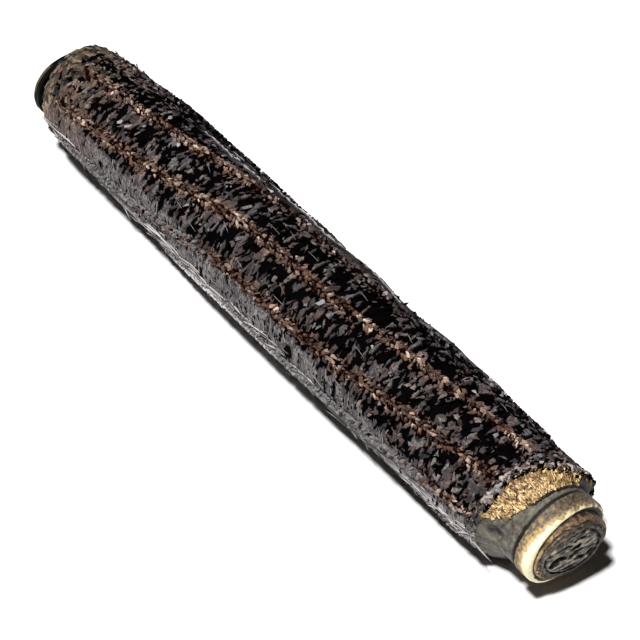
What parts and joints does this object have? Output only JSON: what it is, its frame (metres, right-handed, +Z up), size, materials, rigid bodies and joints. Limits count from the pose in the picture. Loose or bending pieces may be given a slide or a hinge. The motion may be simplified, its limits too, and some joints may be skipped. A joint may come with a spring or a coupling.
{
  "type": "ink stick",
  "caption": "Slender round ink stick in a dark ribbed cover with braided seams, a fibrous band and a layered grinding end.",
  "frame": {"origin": "on the surface that the stick lies on, below the middle of its length", "axes": "+X along the stick towards its layered grinding end, +Z up, +Y away from the front"},
  "size_m": [0.127, 0.0198, 0.0195],
  "materials": {
    "ink": "dry pressed ink, cracked at the end",
    "pale_wrap": "rolled layer, matt",
    "brown_wrap": "rolled layer, ink stained",
    "neck": "smooth, worn",
    "head_ring": "granular side with a cream cut edge",
    "near_band": "short golden fibres",
    "lining": "plain, hidden",
    "far_band": "speckled short fibres",
    "far_rim": "dark, slightly glossy",
    "cover_strip": "dark, crinkled and flaking, satin",
    "seam_cord": "braided, worn pale on top"
  },
  "bodies": {
    "root": {"ink_core": "ink", "inner_ink_wrap": "pale_wrap", "outer_ink_wrap": "brown_wrap", "neck_sleeve": "neck", "head_ring": "head_ring", "near_band": "near_band", "cover_lining": "lining", "far_band": "far_band", "far_rim": "far_rim", "cover_strip_1": "cover_strip", "cover_strip_2": "cover_strip", "cover_strip_3": "cover_strip", "cover_strip_4": "cover_strip", "cover_strip_5": "cover_strip", "cover_strip_6": "cover_strip", "cover_strip_7": "cover_strip", "cover_strip_8": "cover_strip", "seam_cord_1": "seam_cord", "seam_cord_2": "seam_cord", "seam_cord_3": "seam_cord", "seam_cord_4": "seam_cord", "seam_cord_5": "seam_cord", "seam_cord_6": "seam_cord", "seam_cord_7": "seam_cord", "seam_cord_8": "seam_cord"}
  },
  "joints": []
}
